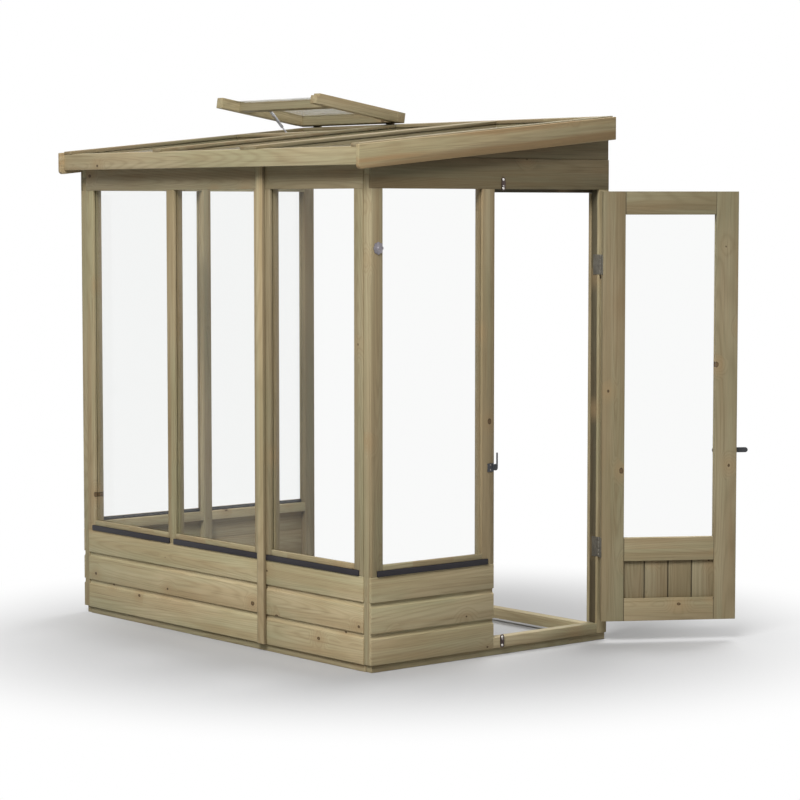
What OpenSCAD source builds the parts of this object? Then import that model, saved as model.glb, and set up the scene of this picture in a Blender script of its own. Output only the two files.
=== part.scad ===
// Lean-to greenhouse of treated softwood and glass.
// It stands with its open back against a wall at y = 0 and its low front towards -y.
// The origin is at floor level, in the middle of the wall side. Sizes are millimetres.

/* [Overall size] */
// Width over the two gable walls
house_w = 1830; // [1600:10:2400]
// Depth from the wall to the front edge of the gables
house_d = 1143; // [1050:1:1400]
// Height of the roof line at the wall
ridge_h = 1960; // [1930:5:2100]
// Roof pitch in degrees
pitch = 5.61; // [4.5:0.01:6.5]

/* [Walls] */
// Face width of the front uprights
upright_w = 49; // [44:1:56]
// Face width of the gables' corner posts
corner_w = 53; // [45:1:60]
// Face width of the post that the door closes on
door_post_w = 58; // [50:1:70]
// Face width of the posts beside the house wall
rear_post_w = 49; // [40:1:60]
// Clear width of the front window in each gable
gable_window_w = 462; // [430:1:475]
// Clear width of the left gable's window nearer the front
left_window_w = 508; // [480:1:530]
// Face width of the upright between the left gable's windows
left_upright_w = 43; // [38:1:52]
// Depth of the framing behind the glazing strips
frame_t = 29; // [25:1:40]
// Thickness of the glazing strips, outer boards and cladding
strip_t = 12; // [10:0.5:14]
// How far the front wall stands proud of the gables' edges
front_proud = 4; // [0:0.5:6]
// Height of every wall rail
rail_h = 49; // [40:1:55]
// Height of the bearers under the walls
bearer_h = 27; // [20:1:40]
// How far the bearers are set in from the outer faces
bearer_inset = 10; // [5:1:14]
// Width of the strip over the joint between the front panels
cover_w = 43; // [36:1:48]
// Thickness of that strip
cover_t = 12; // [8:1:16]

/* [Cladding] */
// Height at which the cladding ends below the windows
clad_top = 338; // [320:1:400]
// Height that each cladding board covers
board_h = 110.5; // [90:0.5:130]
// Depth of the groove under each board joint
groove_d = 7; // [3:0.5:7]
// Height of that groove, and the radius of its cove
groove_r = 10; // [8:1:12]
// Height of the black drip strip above the cladding
drip_h = 20; // [14:1:26]
// How far the drip strip stands out
drip_out = 4; // [2:0.5:8]
// How far a drip strip runs past its window
drip_past = 18; // [10:1:20]
// The same beside the middle upright of the two-bay panel
drip_past_mid = 10.5; // [6:0.5:14]
// The same beside the panel joint and on the right gable
drip_past_long = 27; // [20:0.5:27]
// Height of the bead under the glass
nosing_h = 20.5; // [15:0.5:26]
// How far the tops of the sill rails lie below the tops of the beads
sill_drop = 13; // [8:0.5:16]

/* [Glazing] */
// Depth of the front plate between the wall heads and the roof
eaves_plate_h = 70.5; // [60:0.5:90]
// Thickness of the glass
glass_t = 4; // [3:0.5:6]
// How far the glass laps behind the strips
glass_lap = 7; // [5:0.5:10]
// Clearance around the edge and the faces of a pane
glass_gap = 0.3; // [0.2:0.1:0.5]
// Height of the boards over the windows
head_board_h = 110; // [90:1:110]

/* [Roof] */
// Face width of the roof bars
bar_w = 49; // [44:1:56]
// Depth of the roof bars under their strips
bar_t = 29; // [25:1:40]
// How far the roof strips stand over the roof line
strip_up = 4; // [2:0.5:8]
// How far the roof panels overhang each gable
gable_over = 19; // [10:1:26]
// How far the barge boards run past the front of the gables
barge_over = 82; // [60:1:100]
// Depth of the barge boards
barge_h = 84; // [70:1:95]
// Thickness of the barge boards
barge_t = 18; // [15:1:22]
// Radius of the barge boards' lower front corner
barge_r = 14; // [6:1:20]
// Thickness of the eaves board
eaves_t = 16; // [12:1:22]
// How far the eaves board drops below the roof strips
eaves_drop = 62; // [50:1:75]
// How far the eaves board is set back from the barge boards' ends
eaves_back = 16; // [8:1:24]
// Drop of the wall plate under the roof at the wall
wall_plate_h = 60; // [45:1:80]
// Depth of the timbers against the wall
back_t = 44; // [38:1:50]
// Underside of the floor rail at the back
floor_rail_z = 14; // [5:1:20]
// Height of the floor rail
floor_rail_h = 40; // [30:1:50]

/* [Door] */
// Gap at each side of the leaf
door_side_gap = 3.5; // [3.2:0.1:5]
// Underside of the leaf
door_z0 = 80; // [78:1:90]
// Gap over the leaf
door_head_gap = 6.6; // [6:0.1:12]
// Thickness of the leaf
door_t = 36; // [32:1:38]
// Face width of the stiles
stile_w = 84; // [70:1:95]
// Height of the door's top rail
top_rail_h = 86; // [60:1:110]
// Height of the door's middle rail
mid_rail_h = 86; // [60:1:110]
// Height of the door's bottom rail
foot_rail_h = 85; // [60:1:110]
// Height at which the door glass starts
door_glass_z = 392; // [380:1:480]
// Boards in the lower panel
panel_boards = 4; // [3:1:6]
// Thickness of the panel boards
panel_t = 12; // [8:1:14]
// Height of the threshold over the bearers
threshold_h = 39; // [30:1:42]
// How far the door stops reach into the opening
stop_in = 12; // [8:1:16]
// Thickness of the door stops
stop_t = 12; // [10:1:20]
// How far the stop on the hinge side stands into the doorway
hinge_stop_in = 4; // [3:0.5:12]
// How far the door stands open in degrees
door_open = 148; // [0:1:175]

/* [Ironwork] */
// Height of each door hinge
hinge_h = 74; // [60:1:90]
// How far the lower hinge's centre is above the foot of the leaf
hinge_foot_rise = 276; // [200:1:330]
// How far the upper hinge's centre is below the top of the leaf
hinge_top_drop = 271; // [200:1:330]
// Distance of the hinge pin from the post's face
hinge_out = 9; // [6:0.5:10]
// Radius of the door's hinge pins
pin_r = 2.5; // [2:0.1:3]
// Radius of the door's hinge knuckles
knuckle_r = 5; // [4.5:0.1:5.5]
// Height of the latch bar's axis
latch_z = 715; // [700:1:740]
// Height of the latch bar
latch_h = 19; // [16:1:22]
// Thickness of the latch bar
latch_t = 5; // [4:0.5:6]
// How far the latch bar reaches past the leaf
latch_past = 53; // [36:1:54]
// Distance of the latch bar's pivot from the leaf's edge
latch_pivot = 75; // [70:1:76]
// Width of the turn buttons
button_w = 17; // [14:1:20]
// Thickness of the turn buttons
button_t = 4; // [3:0.5:5]
// Short reach of a turn button from its screw
button_short = 16; // [12:1:16]
// Long reach of a turn button from its screw
button_long = 32; // [28:1:36]
// Distance of the turn buttons from the door post
button_x = 39; // [30:1:60]

/* [Vent] */
// Distance down the slope from the wall to the vent's pivot
vent_pivot_s = 8; // [6:0.5:14]
// Length of the vent's side rails down the slope
vent_l = 459; // [440:1:470]
// Width of the vent's side rails
vent_rail_w = 40; // [34:1:46]
// Depth of the vent's side rails
vent_rail_h = 42; // [41:1:50]
// Depth of the vent's front rail
vent_front_h = 34; // [28:1:35]
// Width of the vent's front rail
vent_front_w = 35; // [28:1:40]
// How far the front rail is set back from the side rails' ends
vent_set_back = 88; // [80:1:100]
// How far the glass runs past the front rail
vent_drip = 20; // [8:1:30]
// How far the vent stands open from the roof in degrees
vent_open = 14.5; // [0:0.1:14.5]
// Sideways place of the vent's stay, from the house's left side
stay_x = 180; // [120:5:400]
// Radius of the stay's tube
tube_r = 6; // [5:0.5:7]
// Length of the stay's tube, from the middle of its eye
tube_l = 93; // [88:1:96]
// Radius of the stay's rod
rod_r = 3; // [2:0.5:4]

/* [Hidden] */
$fn = 48;

wood = [0.64, 0.57, 0.42];
wood_dark = [0.55, 0.48, 0.35];
clear = [0.8, 0.86, 0.87, 0.35];
black = [0.12, 0.12, 0.13];
zinc = [0.62, 0.62, 0.6];
iron = [0.2, 0.2, 0.21];

// Clearance between a pin and its bore, and between parts that turn past each other
pin_clear = 0.05;
turn_gap = 0.5;
// Open joint between neighbouring timbers
joint = 0.2;
overcut = 1;

half_w = house_w / 2;
wall_t = strip_t + frame_t;
in_w = half_w - wall_t;
front_y = -house_d - front_proud;
nosing_z = clad_top + drip_h;
glass_z = nosing_z + nosing_h;
sill_z = glass_z - sill_drop;

// Roof levels, measured square to the slope from the roof line
strip_low = strip_up - strip_t;
bar_low = strip_low - bar_t;

function roof_z(y, h) = ridge_h + y * tan(pitch) + h / cos(pitch);
function roof_point(s, h) = [-s * cos(pitch) - h * sin(pitch), ridge_h - s * sin(pitch) + h * cos(pitch)];

// The heads of the walls, the windows and the door follow the roof
plate_z = roof_z(front_y, bar_low) - eaves_plate_h;
head_z = plate_z - rail_h;
door_z1 = head_z - door_head_gap;
board_count = ceil((clad_top - bearer_h) / board_h);

// The front wall is a panel of two bays beside a panel of one bay
bay = (house_w - 2 * wall_t) / 3;
seam_x = -in_w + 2 * bay;
front_panels = [[-in_w, seam_x], [seam_x, in_w]];
mullion_x = -in_w + bay;
front_posts = [
  [-in_w, -in_w + upright_w],
  [mullion_x - upright_w / 2, mullion_x + upright_w / 2],
  [seam_x - upright_w, seam_x],
  [seam_x, seam_x + upright_w],
  [in_w - upright_w, in_w]
];
front_windows = [
  [front_posts[0][1], front_posts[1][0]],
  [front_posts[1][1], front_posts[2][0]],
  [front_posts[3][1], front_posts[4][0]]
];

// Places along a gable are measured from its front edge towards the wall
window_end = corner_w + gable_window_w;
door_x0 = window_end + door_post_w;
door_x1 = house_d - rear_post_w;
right_post_xs = [[0, corner_w], [window_end, door_x0], [door_x1, house_d]];
left_end = corner_w + left_window_w;
left_post_xs = [[0, corner_w], [left_end, left_end + left_upright_w], [door_x1, house_d]];
right_windows = [[corner_w, window_end]];
left_windows = [[corner_w, left_end], [left_post_xs[1][1], door_x1]];

// Outline of the roof, seen from above
roof_w = half_w + gable_over;
barge_y = -house_d - barge_over;
eaves_y = barge_y + eaves_back;
roof_y = eaves_y + eaves_t;
roof_posts = [
  [-roof_w, -roof_w + bar_w],
  [mullion_x - bar_w / 2, mullion_x + bar_w / 2],
  [seam_x - bar_w, seam_x],
  [seam_x, seam_x + bar_w],
  [roof_w - bar_w, roof_w]
];
roof_bays = [
  [roof_posts[0][1], roof_posts[1][0]],
  [roof_posts[1][1], roof_posts[2][0]],
  [roof_posts[3][1], roof_posts[4][0]]
];

module box(xs, ys, zs)
  translate([xs[0], ys[0], zs[0]])
    cube([xs[1] - xs[0], ys[1] - ys[0], zs[1] - zs[0]]);

// A span shortened by half an open joint at each end
function jointed(span) = [span[0] + joint / 2, span[1] - joint / 2];

// A timber with an outline in the y-z plane
module profile(xs, points)
  translate([xs[0], 0, 0])
    rotate([90, 0, 90])
      linear_extrude(xs[1] - xs[0])
        polygon(points);

// A timber that follows the roof and has plumb ends
module sloped(xs, ys, hs)
  profile(xs, [
    [ys[0], roof_z(ys[0], hs[0])],
    [ys[1], roof_z(ys[1], hs[0])],
    [ys[1], roof_z(ys[1], hs[1])],
    [ys[0], roof_z(ys[0], hs[1])]
  ]);

// A timber with a level foot whose top follows the roof
module wedge(xs, ys, z0, h)
  profile(xs, [[ys[0], z0], [ys[1], z0], [ys[1], roof_z(ys[1], h)], [ys[0], roof_z(ys[0], h)]]);

// Wall frames: x runs along the wall, y from its outer face inwards
module on_front()
  translate([0, front_y, 0])
    children();

module on_right()
  translate([half_w, -house_d, 0])
    rotate([0, 0, 90])
      children();

module on_left()
  mirror([1, 0, 0])
    on_right()
      children();

// Panes behind their strips, and the rebates that hold them
pane_ys = [strip_t + glass_gap, strip_t + glass_gap + glass_t];
rebate_ys = [strip_t, pane_ys[1] + glass_gap];

module panes(windows, lap, ys)
  for (w = windows)
    box([w[0] - lap, w[1] + lap], ys, [sill_z - lap, head_z + lap]);

module rebates(windows)
  panes(windows, glass_lap + glass_gap, rebate_ys);

module glass_panes(windows)
  panes(windows, glass_lap, pane_ys);

module posts(xs, windows)
  difference() {
    for (x = xs)
      box(jointed(x), [strip_t, wall_t], [bearer_h, plate_z]);
    rebates(windows);
  }

module rails(windows)
  difference() {
    for (w = windows) {
      for (z = [bearer_h, head_z])
        box(w, [strip_t, wall_t], [z, z + rail_h]);
      box(w, [strip_t, wall_t], [glass_z - rail_h, sill_z]);
    }
    rebates(windows);
  }

// Drip strips are angles. Their upstand closes the gap between the bead and the pane
upstand_t = 1.5;
front_pasts = [[drip_past, drip_past_mid], [drip_past_mid, drip_past_long], [drip_past_long, drip_past_long]];
right_pasts = [[drip_past_long, drip_past_long]];
left_pasts = [[drip_past, drip_past], [drip_past, drip_past]];

module drips(windows, pasts)
  for (i = [0 : len(windows) - 1]) {
    w = windows[i];
    box([w[0] - pasts[i][0], w[1] + pasts[i][1]], [-drip_out, strip_t], [clad_top, nosing_z]);
    box(jointed(w), [strip_t - upstand_t, strip_t], [nosing_z - overcut, glass_z - joint]);
  }

// Strips on the posts, notched for the drip strips, and the beads under the panes
module strips(xs, windows, pasts) {
  difference() {
    for (x = xs)
      box(jointed(x), [0, strip_t], [clad_top, head_z]);
    drips(windows, pasts);
  }
  for (w = windows)
    box(w, [0, strip_t - upstand_t - joint], [nosing_z, glass_z]);
}

// Horizontal boards with a coved groove under each joint
module cladding(xs)
  for (i = [0 : board_count - 1]) {
    z0 = bearer_h + i * board_h;
    z1 = min(z0 + board_h, clad_top) - joint;
    difference() {
      box(jointed(xs), [0, strip_t], [z0, z1]);
      if (i < board_count - 1) {
        box([xs[0] - overcut, xs[1] + overcut], [-overcut, groove_d], [z1 - groove_r, z1 + overcut]);
        translate([xs[0] - overcut, groove_d - groove_r, z1 - groove_r])
          rotate([0, 90, 0])
            cylinder(r = groove_r, h = xs[1] - xs[0] + 2 * overcut);
      }
    }
  }

// Bearers and the timbers against the house wall
bearer_ys = [bearer_inset, wall_t];

module bearers() color(wood_dark) {
  on_front()
    box(jointed([-in_w, in_w]), bearer_ys, [0, bearer_h]);
  on_right()
    box([bearer_inset, house_d], bearer_ys, [0, bearer_h]);
  on_left()
    box([bearer_inset, house_d], bearer_ys, [0, bearer_h]);
}

module floor_rail() color(wood_dark)
  box([-in_w, in_w], [-back_t, 0], [floor_rail_z, floor_rail_z + floor_rail_h]);

module wall_plate() color(wood_dark)
  wedge([-in_w, in_w], [-back_t, 0], roof_z(0, bar_low) - wall_plate_h, bar_low);

// Front wall
module front_uprights() color(wood)
  on_front()
    posts(front_posts, front_windows);

module front_rails() color(wood)
  on_front()
    rails(front_windows);

module front_strips() color(wood)
  on_front()
    strips(front_posts, front_windows, front_pasts);

module front_cover_strip() color(wood)
  on_front()
    box([seam_x - cover_w / 2, seam_x + cover_w / 2], [-cover_t, 0], [bearer_h, head_z + head_board_h]);

module front_head_boards() color(wood)
  on_front()
    for (p = front_panels)
      box(jointed(p), [0, strip_t], [head_z, head_z + head_board_h]);

module front_cladding() color(wood)
  on_front()
    for (p = front_panels)
      cladding(p);

module front_glass() color(clear)
  on_front()
    glass_panes(front_windows);

module eaves_plate() color(wood_dark)
  wedge([-in_w, in_w], [front_y + strip_t, front_y + wall_t], plate_z, bar_low);

// Right gable, with the door
module right_posts() color(wood)
  on_right()
    posts(right_post_xs, right_windows);

module right_rails() color(wood)
  on_right() {
    rails(right_windows);
    box([door_x0, door_x1], [strip_t, wall_t], [head_z, plate_z]);
  }

module right_strips() color(wood)
  on_right() {
    strips([right_post_xs[0], right_post_xs[1]], right_windows, right_pasts);
    box(jointed(right_post_xs[2]), [0, strip_t], [bearer_h, head_z]);
  }

module right_cladding() color(wood)
  on_right()
    cladding([0, door_x0]);

// The tapered upper board is set back a little from the one below it
upper_back = 3;

module gable_boards() {
  on_right()
    box([0, house_d], [0, strip_t], [head_z, head_z + head_board_h]);
  wedge([half_w - strip_t, half_w - upper_back], [-house_d, 0], head_z + head_board_h + joint, bar_low);
}

module gable_plate()
  wedge([in_w, half_w - strip_t], [-house_d, 0], plate_z, bar_low);

module right_boards() color(wood)
  gable_boards();

module right_plate() color(wood_dark)
  gable_plate();

threshold_z = bearer_h + threshold_h;

module threshold() color(wood_dark)
  on_right()
    box([door_x0, door_x1], [0, wall_t], [bearer_h, threshold_z]);

// Stops that the door closes against, lapping the posts behind them
stop_back = 30;
stop_ys = [wall_t, wall_t + stop_t];
stop_head_z = head_z - stop_in;

module door_stops() color(wood_dark)
  on_right() {
    box([door_x0 - stop_back, door_x0 + stop_in], stop_ys, [threshold_z, stop_head_z]);
    box([door_x1 - hinge_stop_in, door_x1 + stop_back], stop_ys, [threshold_z, stop_head_z]);
    box([door_x0 - stop_back, door_x1 + stop_back], stop_ys, [stop_head_z + joint, plate_z]);
  }

// Left gable, with two fixed windows
module left_posts() color(wood)
  on_left()
    posts(left_post_xs, left_windows);

module left_rails() color(wood)
  on_left()
    rails(left_windows);

module left_strips() color(wood)
  on_left()
    strips(left_post_xs, left_windows, left_pasts);

module left_cladding() color(wood)
  on_left()
    cladding([0, house_d]);

module left_boards() color(wood)
  mirror([1, 0, 0])
    gable_boards();

module left_plate() color(wood_dark)
  mirror([1, 0, 0])
    gable_plate();

module gable_glass() color(clear) {
  on_right()
    glass_panes(right_windows);
  on_left()
    glass_panes(left_windows);
}

module drip_strips() color(black) {
  on_front()
    drips(front_windows, front_pasts);
  on_right()
    drips(right_windows, right_pasts);
  on_left()
    drips(left_windows, left_pasts);
}

// Roof frame: x along the house, y back up the slope, z square to the slope
module on_roof()
  translate([0, 0, ridge_h])
    rotate([pitch, 0, 0])
      children();

// Vent sizes, with the vent shut on the roof
vent_gap = 0.6;
vent_low = strip_up + vent_gap;
vent_s0 = vent_pivot_s + 4;
vent_s1 = vent_s0 + vent_l;
vent_front_s1 = vent_s1 - vent_set_back;
vent_front_s0 = vent_front_s1 - vent_front_w;
vent_rear_w = 36;
vent_leaf_t = 1.2;
vent_leaf_reach = 30;
vent_rear_low = strip_up + vent_leaf_t + turn_gap;
barge_clear = 3;
vent_past_bar = 9;
vent_xs = [-roof_w + barge_clear, roof_posts[1][1] + vent_past_bar];
vent_in_xs = [vent_xs[0] + vent_rail_w, vent_xs[1] - vent_rail_w];
vent_front_low = vent_low + 1.5;
vent_front_high = vent_front_low + vent_front_h;

// The trimmer carries the fixed glass below the vent's front rail
trimmer_s0 = vent_front_s0 - 3;
trimmer_ys = [-(trimmer_s0 + bar_w) * cos(pitch), -trimmer_s0 * cos(pitch)];
rear_ys = [-bar_w, 0];
front_ys = [roof_y, roof_y + bar_w];
bay_backs = [trimmer_ys[1] - bar_w, rear_ys[0], rear_ys[0]];
roof_pane_hs = [strip_low - glass_gap - glass_t, strip_low - glass_gap];
roof_rebate_hs = [roof_pane_hs[0] - glass_gap, strip_low];

module roof_panes(lap, y0, hs)
  for (i = [0 : 2])
    sloped([roof_bays[i][0] - lap, roof_bays[i][1] + lap], [y0, bay_backs[i] + lap], hs);

module roof_rebates()
  roof_panes(glass_lap + glass_gap, roof_y - overcut, roof_rebate_hs);

roof_frame_hs = [bar_low + joint, strip_low];
roof_strip_hs = [strip_low + joint, strip_up];

module roof_bars() color(wood)
  difference() {
    for (x = roof_posts)
      sloped(jointed(x), [roof_y, 0], roof_frame_hs);
    roof_rebates();
  }

module roof_rails() color(wood)
  difference() {
    union() {
      for (b = roof_bays) {
        sloped(b, rear_ys, roof_frame_hs);
        sloped(b, front_ys, roof_frame_hs);
      }
      sloped(roof_bays[0], trimmer_ys, roof_frame_hs);
    }
    roof_rebates();
  }

module roof_strips() color(wood) {
  for (x = roof_posts)
    sloped(jointed(x), [eaves_y, 0], roof_strip_hs);
  for (b = roof_bays)
    sloped(b, rear_ys, roof_strip_hs);
  sloped(roof_bays[0], trimmer_ys, roof_strip_hs);
}

module roof_glass() color(clear)
  roof_panes(glass_lap, roof_y + glass_gap, roof_pane_hs);

// One barge board, with its lower front corner rounded
module barge_board()
  difference() {
    sloped([roof_w, roof_w + barge_t], [barge_y, 0], [-barge_h, 0]);
    translate([roof_w - overcut, barge_y + barge_r, roof_z(barge_y + barge_r, -barge_h) + barge_r])
      rotate([0, 90, 0])
        difference() {
          translate([0, -barge_r - overcut, 0])
            cube([2 * barge_r, barge_r + overcut, barge_t + 2 * overcut]);
          cylinder(r = barge_r, h = barge_t + 2 * overcut);
        }
  }

module barge_boards() color(wood) {
  barge_board();
  mirror([1, 0, 0])
    barge_board();
}

module eaves_board() color(wood)
  wedge([-roof_w, roof_w], [eaves_y, roof_y], roof_z(eaves_y, strip_low) - eaves_drop, strip_low);

// Hinges: knuckles in turn on a pin that one leaf holds, drawn along z
knuckle_count = 5;

module knuckles(h, r, first, bore_r) {
  step = h / knuckle_count;
  for (i = [first : 2 : knuckle_count - 1])
    translate([0, 0, i * step + turn_gap / 2])
      difference() {
        cylinder(r = r, h = step - turn_gap);
        if (bore_r > 0)
          translate([0, 0, -overcut])
            cylinder(r = bore_r, h = step + overcut);
      }
}

// Necks that join a leaf to its own knuckles
module necks(h, first, xs, ys) {
  step = h / knuckle_count;
  for (i = [first : 2 : knuckle_count - 1])
    box(xs, ys, [i * step + turn_gap / 2, (i + 1) * step - turn_gap / 2]);
}

// Door hinges. The pin is in front of the gap between leaf and post
hinge_zs = [door_z0 + hinge_foot_rise, door_z1 - hinge_top_drop];
leaf_t = 1.5;
leaf_y1 = 30;
leaf_y0 = -hinge_out + knuckle_r + turn_gap;
pin_x = door_x1 - door_side_gap / 2;
leaf_x1 = door_x1 - door_side_gap;

module post_hinge_leaves() color(zinc)
  on_right()
    for (z = hinge_zs)
      translate([0, 0, z - hinge_h / 2]) {
        box([door_x1 - leaf_t, door_x1], [leaf_y0, leaf_y1], [0, hinge_h]);
        necks(hinge_h, 0, [pin_x, door_x1], [-hinge_out, leaf_y0]);
        translate([pin_x, -hinge_out, 0]) {
          knuckles(hinge_h, knuckle_r, 0, 0);
          cylinder(r = pin_r, h = hinge_h);
        }
      }

// The door turns about the hinge pin. Its pieces are drawn shut
module on_door()
  on_right()
    translate([pin_x, -hinge_out, 0])
      rotate([0, 0, door_open])
        translate([-pin_x, hinge_out, 0])
          children();

module door_hinge_leaves() color(zinc)
  on_door()
    for (z = hinge_zs)
      translate([0, 0, z - hinge_h / 2])
        difference() {
          union() {
            box([leaf_x1, leaf_x1 + leaf_t], [leaf_y0, leaf_y1], [0, hinge_h]);
            necks(hinge_h, 1, [leaf_x1, pin_x], [-hinge_out, leaf_y0]);
            translate([pin_x, -hinge_out, 0])
              knuckles(hinge_h, knuckle_r, 1, 0);
          }
          translate([pin_x, -hinge_out, -overcut])
            cylinder(r = pin_r + pin_clear, h = hinge_h + 2 * overcut);
        }

leaf_x0 = door_x0 + door_side_gap;
door_in_xs = [leaf_x0 + stile_w, leaf_x1 - stile_w];
door_glass_z1 = door_z1 - top_rail_h;
panel_z = [door_z0 + foot_rail_h, door_glass_z - mid_rail_h];
door_pane_y = 14;
door_pane_ys = [door_pane_y, door_pane_y + glass_t];
panel_y0 = 10;
panel_lap = 8;

// Rebates for the pane, open outwards where the beads hold it, and the groove of the panel
module door_cuts() {
  box(
    [door_in_xs[0] - glass_lap - glass_gap, door_in_xs[1] + glass_lap + glass_gap],
    [-overcut, door_pane_ys[1] + glass_gap],
    [door_glass_z - glass_lap - glass_gap, door_glass_z1 + glass_lap + glass_gap]
  );
  box(
    [door_in_xs[0] - panel_lap - glass_gap, door_in_xs[1] + panel_lap + glass_gap],
    [panel_y0, panel_y0 + panel_t + glass_gap],
    [panel_z[0] - panel_lap - glass_gap, panel_z[1] + panel_lap + glass_gap]
  );
}

module door_stiles() color(wood)
  on_door()
    difference() {
      for (xs = [[leaf_x0, door_in_xs[0]], [door_in_xs[1], leaf_x1]])
        box(xs, [0, door_t], [door_z0, door_z1]);
      door_cuts();
    }

module door_rails() color(wood)
  on_door()
    difference() {
      for (zs = [[door_z0, panel_z[0]], [panel_z[1], door_glass_z], [door_glass_z1, door_z1]])
        box(door_in_xs, [0, door_t], zs);
      door_cuts();
    }

// Upright boards in the lower panel, with chamfered joints
panel_chamfer = 3;

module door_panel() color(wood)
  on_door() {
    x0 = door_in_xs[0] - panel_lap;
    step = (door_in_xs[1] - door_in_xs[0] + 2 * panel_lap) / panel_boards;
    w = step - joint;
    for (i = [0 : panel_boards - 1])
      translate([x0 + i * step, panel_y0, panel_z[0] - panel_lap])
        linear_extrude(panel_z[1] - panel_z[0] + 2 * panel_lap)
          polygon([
            [panel_chamfer, 0], [w - panel_chamfer, 0],
            [w, panel_chamfer], [w, panel_t - panel_chamfer],
            [w - panel_chamfer, panel_t], [panel_chamfer, panel_t],
            [0, panel_t - panel_chamfer], [0, panel_chamfer]
          ]);
  }

module door_glass() color(clear)
  on_door()
    box(
      [door_in_xs[0] - glass_lap, door_in_xs[1] + glass_lap],
      door_pane_ys,
      [door_glass_z - glass_lap, door_glass_z1 + glass_lap]
    );

// Beads that fill the rebate in front of the pane, flush with its sides
bead_y0 = 2;

module door_beads() color(wood)
  on_door() {
    ys = [bead_y0, door_pane_ys[0] - glass_gap];
    xs = [door_in_xs[0] - glass_lap, door_in_xs[1] + glass_lap];
    zs = [door_glass_z - glass_lap, door_glass_z1 + glass_lap];
    box([xs[0], door_in_xs[0]], ys, zs);
    box([door_in_xs[1], xs[1]], ys, zs);
    between = jointed(door_in_xs);
    box(between, ys, [zs[0], door_glass_z]);
    box(between, ys, [door_glass_z1, zs[1]]);
  }

// Latch: a bar on a plate drops behind a hook on the door post
plate_t = 2.5;
latch_gap = 1;
latch_y1 = -plate_t - latch_gap;
latch_y0 = latch_y1 - latch_t;
latch_pivot_x = leaf_x0 + latch_pivot;
latch_pin_r = 3;
latch_head_r = 5;
latch_head_t = 2;
latch_lift = 30;
guide_x = leaf_x0 + 12;
guide_w = 8;
guide_t = 3;
guide_clear = 3;
latch_rest = 0.3;
guide_z0 = latch_z - latch_h / 2 - latch_rest;
guide_reach = latch_pivot_x - guide_x;
guide_z1 = latch_z + guide_reach * tan(latch_lift) + latch_h / 2 / cos(latch_lift) + guide_clear;
guide_y0 = latch_y0 - guide_clear;
plate_below = 10;
plate_above = 6;
plate_zs = [guide_z0 - plate_below, guide_z1 + plate_above];
plate_xs = [leaf_x0 + 3, leaf_x0 + stile_w - 1];

module across(x, y, z)
  translate([x, y, z])
    rotate([90, 0, 0])
      children();

module latch_plate() color(iron)
  on_door() {
    box(plate_xs, [-plate_t, 0], plate_zs);
    across(latch_pivot_x, -plate_t, latch_z) {
      cylinder(r = latch_pin_r, h = latch_t + 2 * latch_gap);
      translate([0, 0, latch_t + 2 * latch_gap])
        cylinder(r = latch_head_r, h = latch_head_t);
    }
    guide_xs = [guide_x, guide_x + guide_w];
    box(guide_xs, [guide_y0, -plate_t], [guide_z0 - guide_t, guide_z0]);
    box(guide_xs, [guide_y0, -plate_t], [guide_z1, guide_z1 + guide_t]);
    box(guide_xs, [guide_y0 - guide_t, guide_y0], [guide_z0 - guide_t, guide_z1 + guide_t]);
  }

// Countersunk or round screw heads, on faces that look outwards
screw_r = 3.5;
screw_up = 1.2;
latch_screw_xs = [plate_xs[0] + 28, plate_xs[1] - 22];
latch_screw_zs = [plate_zs[0] + 5, plate_zs[1] - 5];

module screws(points, y)
  for (p = points)
    across(p[0], y, p[1])
      cylinder(r = screw_r, h = screw_up);

module latch_screws() color(zinc)
  on_door()
    screws([for (x = latch_screw_xs, z = latch_screw_zs) [x, z]], -plate_t);

knob_x = leaf_x0 + 38;
knob_neck_r = 4;
knob_r = 8;
knob_out = 14;

module latch_bar() color(iron)
  on_door()
    difference() {
      union() {
        ends = [leaf_x0 - latch_past + latch_h / 2, latch_pivot_x];
        box(ends, [latch_y0, latch_y1], [latch_z - latch_h / 2, latch_z + latch_h / 2]);
        for (x = ends)
          across(x, latch_y1, latch_z)
            cylinder(r = latch_h / 2, h = latch_t);
        across(knob_x, latch_y1, latch_z)
          cylinder(r = knob_neck_r, h = latch_t + knob_out);
        translate([knob_x, latch_y0 - knob_out, latch_z])
          sphere(r = knob_r);
      }
      across(latch_pivot_x, latch_y1 + overcut, latch_z)
        cylinder(r = latch_pin_r + pin_clear, h = latch_t + 2 * overcut);
    }

// Keep: a pressed hook, open at its top, turned out from a screwed flange
keep_x1 = door_x0 - 4;
keep_flange_w = 29;
keep_flange_zs = [673, 704];
keep_low = 678;
keep_sill = 700;
keep_top = 744;
keep_out = 25;
keep_arm = 7;
keep_r = 12;
keep_screw_zs = [680.5, 697];

module latch_keep() color(iron)
  on_right() {
    box([keep_x1 - keep_flange_w, keep_x1], [-plate_t, 0], keep_flange_zs);
    translate([keep_x1 - plate_t, 0, 0])
      rotate([90, 0, 90])
        linear_extrude(plate_t)
          union() {
            translate([-keep_out, keep_low + keep_r])
              square([keep_out, keep_sill - keep_low - keep_r]);
            translate([-keep_out + keep_r, keep_low])
              square([keep_out - keep_r, keep_sill - keep_low]);
            translate([-keep_out + keep_r, keep_low + keep_r])
              circle(r = keep_r);
            translate([-keep_out, keep_sill - overcut])
              square([keep_arm, keep_top - keep_sill + overcut - keep_arm / 2]);
            translate([-keep_out + keep_arm / 2, keep_top - keep_arm / 2])
              circle(r = keep_arm / 2);
          }
  }

module keep_screws() color(zinc)
  on_right()
    screws([for (z = keep_screw_zs) [keep_x1 - keep_flange_w / 2, z]], -plate_t);

// Round metal rose on the corner post
rose_x = 32;
rose_z = 1484;
rose_r = 22;
rose_t = 2.5;
rose_ring_r = 13;
rose_ring_t = 2.2;
rose_boss_r = 5;
rose_boss_h = 7.5;

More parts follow.
